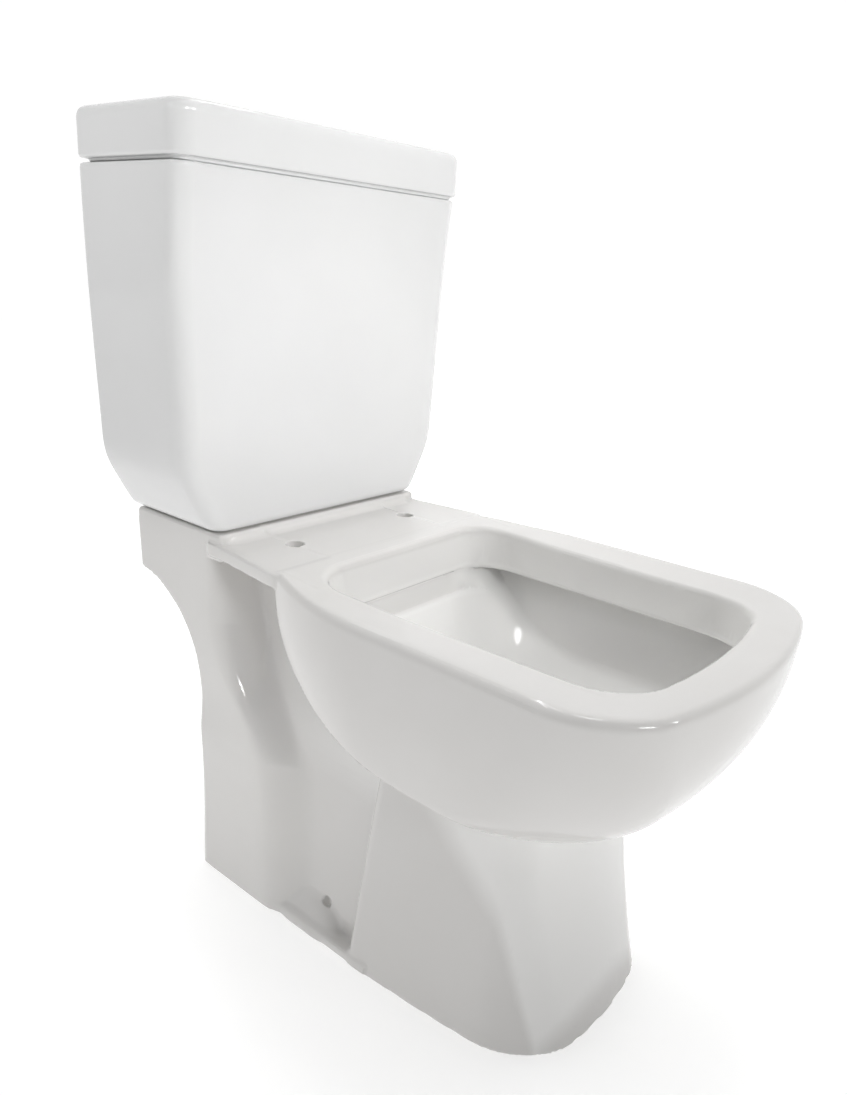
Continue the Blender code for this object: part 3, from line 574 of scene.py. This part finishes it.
def glaze(name, color, shade, painted_light_colour=None):
    """White glaze: faint cloudiness in the colour, a soft orange-peel in the gloss.

    The optional last colour is painted where the piece's "inside" attribute says, inside the bowl: a lighter
    colour that stands in for the light filling the bowl (painted light).
    """
    material, nodes, links, shader = new_material(name)
    place = nodes.new("ShaderNodeTexCoord").outputs["Object"]
    _, ramp = mottled(nodes, links, place, 7, 4, color, shade)
    links.new(ramp.outputs["Color"], shader.inputs["Base Color"])
    if painted_light_colour:
        # Painted light: mixes the lighter colour in inside the bowl, in place of the light that fills it.
        inside = nodes.new("ShaderNodeAttribute")
        inside.attribute_name = "inside"
        mix = nodes.new("ShaderNodeMix")
        mix.data_type = "RGBA"
        mix.inputs["B"].default_value = (*painted_light_colour, 1)
        links.new(inside.outputs["Fac"], mix.inputs["Factor"])
        links.new(ramp.outputs["Color"], mix.inputs["A"])
        links.new(mix.outputs["Result"], shader.inputs["Base Color"])
    bumped(nodes, links, place, 45, 2, 0.05, 0.001, shader)
    shader.inputs["Roughness"].default_value = 0.055
    shader.inputs["Specular IOR Level"].default_value = 0.5
    return material


def hardware(name, color, shade, roughness, metallic, scale, stretch, bump_depth):
    """Fitting's surface: mottled colour, uneven gloss and a fine grain that may be drawn out along Z."""
    material, nodes, links, shader = new_material(name)
    where = nodes.new("ShaderNodeTexCoord")
    mapping = nodes.new("ShaderNodeMapping")
    mapping.inputs["Scale"].default_value = (1, 1, stretch)
    links.new(where.outputs["Object"], mapping.inputs["Vector"])
    place = mapping.outputs["Vector"]
    mottle, ramp = mottled(nodes, links, place, scale, 6, color, shade)
    links.new(ramp.outputs["Color"], shader.inputs["Base Color"])
    gloss = nodes.new("ShaderNodeMapRange")
    gloss.inputs["To Min"].default_value = roughness * 0.7
    gloss.inputs["To Max"].default_value = roughness * 1.3
    links.new(mottle.outputs["Fac"], gloss.inputs["Value"])
    links.new(gloss.outputs["Result"], shader.inputs["Roughness"])
    bumped(nodes, links, place, scale * 9, 2, 0.3, bump_depth, shader)
    shader.inputs["Metallic"].default_value = metallic
    return material


def mark_painted_light(obj):
    """Writes how far each point lies inside the bowl, from 0 to 1, for the glaze's painted light: a lighter
    colour there stands in for the light inside the bowl.
    """
    places = np.array([v.co for v in obj.data.vertices])
    x, y, z = abs(places[:, 0]), places[:, 1], places[:, 2]
    mouth = both(opening(x, y, z) - 0.001, z - RIM_TOP + 0.010)
    space = both(np.minimum(both(basin(x, y, z), z - 0.36), mouth), bowl_skin(x, y, z) + 0.006)
    painted_light_amount = np.clip(0.5 - space / 0.006, 0, 1)
    obj.data.attributes.new("inside", "FLOAT", "POINT").data.foreach_set("value", painted_light_amount.astype(np.float32))


def paint(obj, material):
    obj.data.materials.clear()
    obj.data.materials.append(material)


# ---- studio ----
CAMERA_PLACE = (-0.637, -0.4837, 0.6716)
CAMERA_YAW, CAMERA_PITCH, CAMERA_ROLL = radians(51.0835), radians(-18.2322), radians(3.6671)
WORLD_BRIGHT_WAY = (0.52, 0.72, 0.30)
WORLD_DIM, WORLD_BRIGHT = 0.12, 1.01
# name: place, target, size, power in watts, spread in degrees
LAMPS = {
    "front": ((-0.5, -2.7, 1.7), (0, 0.10, 0.66), (0.9, 0.5), 1.00, 26),
    "front_right": ((1.00, -2.20, 1.60), (0, 0.10, 0.64), (0.40, 0.30), 0.40, 26),
    "lamp_top": ((0.75, 0.60, 2.10), (0, 0, 0.35), (0.06, 0.6), 1.7, 180),
    "lamp_near": ((-1.30, -1.60, 0.75), (-0.1, 0.15, 0.6), (0.05, 0.8), 0.22, 180),
    "left_high": ((-0.62, 0.22, 1.10), (-0.16, 0.25, 0.80), (0.3, 0.3), 0.06, 50),
    "flute": ((-1.45, -0.50, 0.60), (-0.13, 0.15, 0.25), (0.05, 0.30), 0.018, 12),
    "over_bowl": ((0.10, -0.10, 1.70), (0.06, -0.05, 0.3), (0.35, 0.25), 0.22, 40)}


def area_light(name, place, target, size, power, spread):
    data = bpy.data.lights.new(name, "AREA")
    data.shape = "RECTANGLE"
    data.size, data.size_y = size
    data.energy = power
    data.spread = radians(spread)
    obj = bpy.data.objects.new(name, data)
    obj.location = place
    obj.rotation_euler = (Vector(target) - Vector(place)).to_track_quat("-Z", "Y").to_euler()
    bpy.context.collection.objects.link(obj)


def make_camera():
    """Camera turned to the toilet's left front, tilted down and rolled a little."""
    level = cos(CAMERA_PITCH)
    ahead = Vector((sin(CAMERA_YAW) * level, cos(CAMERA_YAW) * level, sin(CAMERA_PITCH)))
    right = Vector((cos(CAMERA_YAW), -sin(CAMERA_YAW), 0))
    up = right.cross(ahead)
    turned_right = right * cos(CAMERA_ROLL) + up * sin(CAMERA_ROLL)
    turned_up = up * cos(CAMERA_ROLL) - right * sin(CAMERA_ROLL)
    data = bpy.data.cameras.new("camera")
    data.lens = 28.409
    data.shift_x, data.shift_y = -0.0019, 0.00125
    obj = bpy.data.objects.new("camera", data)
    turn = Matrix((turned_right, turned_up, -ahead)).transposed()
    obj.matrix_world = Matrix.Translation(CAMERA_PLACE) @ turn.to_4x4()
    bpy.context.collection.objects.link(obj)
    bpy.context.scene.camera = obj


def make_floor():
    bpy.ops.mesh.primitive_plane_add(size=14, location=(0, 0, -0.0005))
    floor = bpy.context.object
    floor.name = "floor"
    material, nodes, links, shader = new_material("floor")
    shader.inputs["Base Color"].default_value = (0.93, 0.93, 0.93, 1)
    shader.inputs["Roughness"].default_value = 0.9
    shader.inputs["Specular IOR Level"].default_value = 0.1
    shader.inputs["Emission Color"].default_value = (1, 1, 1, 1)
    shader.inputs["Emission Strength"].default_value = 0.43
    paint(floor, material)


def make_world():
    """White room that is dimmer on the toilet's left, behind the camera."""
    world = bpy.data.worlds.new("studio")
    bpy.context.scene.world = world
    world.use_nodes = True
    nodes, links = world.node_tree.nodes, world.node_tree.links
    where = nodes.new("ShaderNodeTexCoord")
    side = nodes.new("ShaderNodeVectorMath")
    side.operation = "DOT_PRODUCT"
    side.inputs[1].default_value = WORLD_BRIGHT_WAY
    ramp = nodes.new("ShaderNodeMapRange")
    ramp.interpolation_type = "SMOOTHSTEP"
    ramp.inputs["From Min"].default_value, ramp.inputs["From Max"].default_value = -0.50, 0.62
    ramp.inputs["To Min"].default_value, ramp.inputs["To Max"].default_value = WORLD_DIM, WORLD_BRIGHT
    background = nodes["Background"]
    links.new(where.outputs["Generated"], side.inputs[0])
    links.new(side.outputs["Value"], ramp.inputs["Value"])
    links.new(ramp.outputs["Result"], background.inputs["Strength"])
    background.inputs["Color"].default_value = (1, 1, 1, 1)


def make_studio():
    make_floor()
    make_world()
    for name, values in LAMPS.items():
        area_light(name, *values)
    bpy.context.scene.view_settings.view_transform = "Standard"


# ---- the pieces and their finishes ----
# The third colour is painted light: a lighter glaze inside the bowl that stands in for the light filling it.
pan_glaze = glaze("pan_glaze", (0.748, 0.737, 0.722), (0.728, 0.716, 0.699), (0.90, 0.895, 0.88))
cistern_glaze = glaze("cistern_glaze", (0.775, 0.776, 0.775), (0.755, 0.756, 0.754))
finishes = {
    "pan_china": pan_glaze,
    "cistern_china": cistern_glaze,
    "black_rubber": hardware("rubber", (0.030, 0.030, 0.032), (0.018, 0.018, 0.019), 0.62, 0, 60, 1, 2e-4),
    "plated_steel": hardware("plated_steel", (0.60, 0.60, 0.59), (0.46, 0.46, 0.455), 0.28, 1, 90, 0.15,
                             5e-5),
    "chromed_plastic": hardware("chrome", (0.80, 0.81, 0.82), (0.74, 0.75, 0.765), 0.09, 1, 25, 1, 1e-5),
    "blue_plastic": hardware("blue_plastic", (0.10, 0.22, 0.42), (0.08, 0.185, 0.37), 0.38, 0, 45, 1, 6e-5),
    "white_plastic": hardware("white_plastic", (0.72, 0.73, 0.74), (0.66, 0.67, 0.685), 0.36, 0, 45, 1, 6e-5)}

pan = china("china_pan", pan_solid, PAN_LOW, PAN_HIGH, 0.37, "base", "pan")
cistern = china("china_cistern", cistern_solid, CISTERN_LOW, CISTERN_HIGH, 0.5, "base", "cistern")
lid = china("china_lid", lid_solid, LID_LOW, LID_HIGH, 0.6, "lid", "cistern_lid")
# Marks the bowl's inside, where the glaze paints in light.
mark_painted_light(pan)
paint(pan, pan_glaze)
paint(cistern, cistern_glaze)
paint(lid, cistern_glaze)
for half in ("full", "half"):
    spring = coil_spring("coil_" + half, "return_spring_" + half, half + "_button")
    paint(spring, finishes["plated_steel"])
for row in frame["record"]["subparts"]:
    paint(frame["nodes"][row["node"]], finishes[row["material_slot"]])
make_camera()
make_studio()
